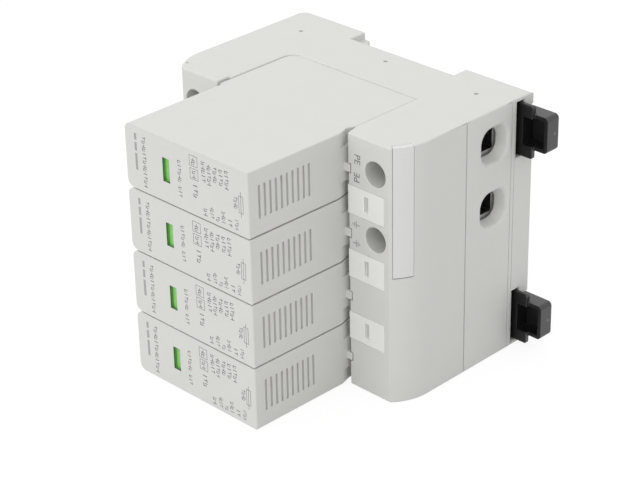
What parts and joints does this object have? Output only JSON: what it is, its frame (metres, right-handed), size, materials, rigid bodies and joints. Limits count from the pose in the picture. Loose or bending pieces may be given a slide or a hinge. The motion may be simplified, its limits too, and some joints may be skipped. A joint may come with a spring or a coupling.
{
  "type": "din rail surge arrester",
  "caption": "Plug-in surge arrester for a mounting rail: a base with screw terminals and rail clips, and pull-out modules with a green status window.",
  "frame": {"origin": "on the rail's centre line, in the rail's front plane, at the side face that the part rests on", "axes": "+Z along the rail and up as the part lies on its side, -Y out of the plug fronts, +X towards the earth terminals"},
  "size_m": [0.0905, 0.082, 0.072],
  "materials": {
    "housing_grey": "fine-grained moulded light grey plastic",
    "insert_white": "smooth white moulded plastic",
    "strip_clear": "smooth pale label strip",
    "clip_black": "satin black moulded plastic",
    "contact_copper": "plain copper sheet",
    "clamp_steel": "zinc-plated steel",
    "spring_steel": "spring steel strip",
    "varistor_blue": "blue epoxy-coated ceramic",
    "flag_green": "green moulded plastic",
    "guide_red": "red moulded plastic"
  },
  "bodies": {
    "base": {"base_housing": "housing_grey", "marking_strip": "strip_clear", "earth_busbar": "contact_copper", "shoulder_insert_1": "insert_white", "shoulder_insert_2": "insert_white", "shoulder_insert_3": "insert_white", "line_contact_1": "contact_copper", "line_contact_2": "contact_copper", "line_contact_3": "contact_copper", "line_contact_4": "contact_copper"},
    "plug_1": {"plug_cap_1": "housing_grey", "plug_foot_1": "housing_grey", "varistor_1": "varistor_blue", "line_blade_1": "contact_copper", "earth_blade_1": "contact_copper", "flag_guide_1": "guide_red", "trip_spring_1": "spring_steel"},
    "flag_1": {"status_flag_1": "flag_green"},
    "plug_2": {"plug_cap_2": "housing_grey", "plug_foot_2": "housing_grey", "varistor_2": "varistor_blue", "line_blade_2": "contact_copper", "earth_blade_2": "contact_copper", "flag_guide_2": "guide_red", "trip_spring_2": "spring_steel"},
    "flag_2": {"status_flag_2": "flag_green"},
    "plug_3": {"plug_cap_3": "housing_grey", "plug_foot_3": "housing_grey", "varistor_3": "varistor_blue", "line_blade_3": "contact_copper", "earth_blade_3": "contact_copper", "flag_guide_3": "guide_red", "trip_spring_3": "spring_steel"},
    "flag_3": {"status_flag_3": "flag_green"},
    "plug_4": {"plug_cap_4": "housing_grey", "plug_foot_4": "housing_grey", "varistor_4": "varistor_blue", "line_blade_4": "contact_copper", "earth_blade_4": "contact_copper", "flag_guide_4": "guide_red", "trip_spring_4": "spring_steel"},
    "flag_4": {"status_flag_4": "flag_green"},
    "clip_1": {"rail_clip_1": "clip_black"},
    "clip_2": {"rail_clip_2": "clip_black"},
    "line_screw_1": {"line_screw_1": "clamp_steel"},
    "line_cage_1": {"line_cage_1": "clamp_steel"},
    "line_screw_2": {"line_screw_2": "clamp_steel"},
    "line_cage_2": {"line_cage_2": "clamp_steel"},
    "line_screw_3": {"line_screw_3": "clamp_steel"},
    "line_cage_3": {"line_cage_3": "clamp_steel"},
    "line_screw_4": {"line_screw_4": "clamp_steel"},
    "line_cage_4": {"line_cage_4": "clamp_steel"},
    "earth_screw_1": {"earth_screw_1": "clamp_steel"},
    "earth_cage_1": {"earth_cage_1": "clamp_steel"},
    "earth_screw_2": {"earth_screw_2": "clamp_steel"},
    "earth_cage_2": {"earth_cage_2": "clamp_steel"}
  },
  "joints": [
    {"name": "plug_1_pull", "type": "slide", "parent": "base", "child": "plug_1", "axis": [0, -1, 0], "range_m": [0, 0.036]},
    {"name": "flag_1_trip", "type": "slide", "parent": "plug_1", "child": "flag_1", "axis": [1, 0, 0], "range_m": [0, 0.004]},
    {"name": "plug_2_pull", "type": "slide", "parent": "base", "child": "plug_2", "axis": [0, -1, 0], "range_m": [0, 0.036]},
    {"name": "flag_2_trip", "type": "slide", "parent": "plug_2", "child": "flag_2", "axis": [1, 0, 0], "range_m": [0, 0.004]},
    {"name": "plug_3_pull", "type": "slide", "parent": "base", "child": "plug_3", "axis": [0, -1, 0], "range_m": [0, 0.036]},
    {"name": "flag_3_trip", "type": "slide", "parent": "plug_3", "child": "flag_3", "axis": [1, 0, 0], "range_m": [0, 0.004]},
    {"name": "plug_4_pull", "type": "slide", "parent": "base", "child": "plug_4", "axis": [0, -1, 0], "range_m": [0, 0.036]},
    {"name": "flag_4_trip", "type": "slide", "parent": "plug_4", "child": "flag_4", "axis": [1, 0, 0], "range_m": [0, 0.004]},
    {"name": "clip_1_pull", "type": "slide", "parent": "base", "child": "clip_1", "axis": [1, 0, 0], "range_m": [0, 0.004], "stiffness_N_per_m": 500},
    {"name": "clip_2_pull", "type": "slide", "parent": "base", "child": "clip_2", "axis": [1, 0, 0], "range_m": [0, 0.004], "stiffness_N_per_m": 500},
    {"name": "line_screw_1_turn", "type": "hinge", "parent": "base", "child": "line_screw_1", "pos_m": [-0.03235, -0.02, 0.0094], "axis": [0, 1, 0], "range_deg": [0, 3240]},
    {"name": "line_cage_1_lift", "type": "slide", "parent": "base", "child": "line_cage_1", "axis": [0, -1, 0], "range_m": [0, 0.0072]},
    {"name": "line_screw_2_turn", "type": "hinge", "parent": "base", "child": "line_screw_2", "pos_m": [-0.03235, -0.02, 0.0274], "axis": [0, 1, 0], "range_deg": [0, 3240]},
    {"name": "line_cage_2_lift", "type": "slide", "parent": "base", "child": "line_cage_2", "axis": [0, -1, 0], "range_m": [0, 0.0072]},
    {"name": "line_screw_3_turn", "type": "hinge", "parent": "base", "child": "line_screw_3", "pos_m": [-0.03235, -0.02, 0.0454], "axis": [0, 1, 0], "range_deg": [0, 3240]},
    {"name": "line_cage_3_lift", "type": "slide", "parent": "base", "child": "line_cage_3", "axis": [0, -1, 0], "range_m": [0, 0.0072]},
    {"name": "line_screw_4_turn", "type": "hinge", "parent": "base", "child": "line_screw_4", "pos_m": [-0.03235, -0.02, 0.0634], "axis": [0, 1, 0], "range_deg": [0, 3240]},
    {"name": "line_cage_4_lift", "type": "slide", "parent": "base", "child": "line_cage_4", "axis": [0, -1, 0], "range_m": [0, 0.0072]},
    {"name": "earth_screw_1_turn", "type": "hinge", "parent": "base", "child": "earth_screw_1", "pos_m": [0.03235, -0.02, 0.0454], "axis": [0, 1, 0], "range_deg": [0, 3240]},
    {"name": "earth_cage_1_lift", "type": "slide", "parent": "base", "child": "earth_cage_1", "axis": [0, -1, 0], "range_m": [0, 0.0072]},
    {"name": "earth_screw_2_turn", "type": "hinge", "parent": "base", "child": "earth_screw_2", "pos_m": [0.03235, -0.02, 0.0634], "axis": [0, 1, 0], "range_deg": [0, 3240]},
    {"name": "earth_cage_2_lift", "type": "slide", "parent": "base", "child": "earth_cage_2", "axis": [0, -1, 0], "range_m": [0, 0.0072]}
  ],
  "couplings": [
    {"joint": "line_screw_1_turn", "follows": "line_cage_1_lift", "rad_per_m": 7850},
    {"joint": "line_screw_2_turn", "follows": "line_cage_2_lift", "rad_per_m": 7850},
    {"joint": "line_screw_3_turn", "follows": "line_cage_3_lift", "rad_per_m": 7850},
    {"joint": "line_screw_4_turn", "follows": "line_cage_4_lift", "rad_per_m": 7850},
    {"joint": "earth_screw_1_turn", "follows": "earth_cage_1_lift", "rad_per_m": 7850},
    {"joint": "earth_screw_2_turn", "follows": "earth_cage_2_lift", "rad_per_m": 7850}
  ]
}
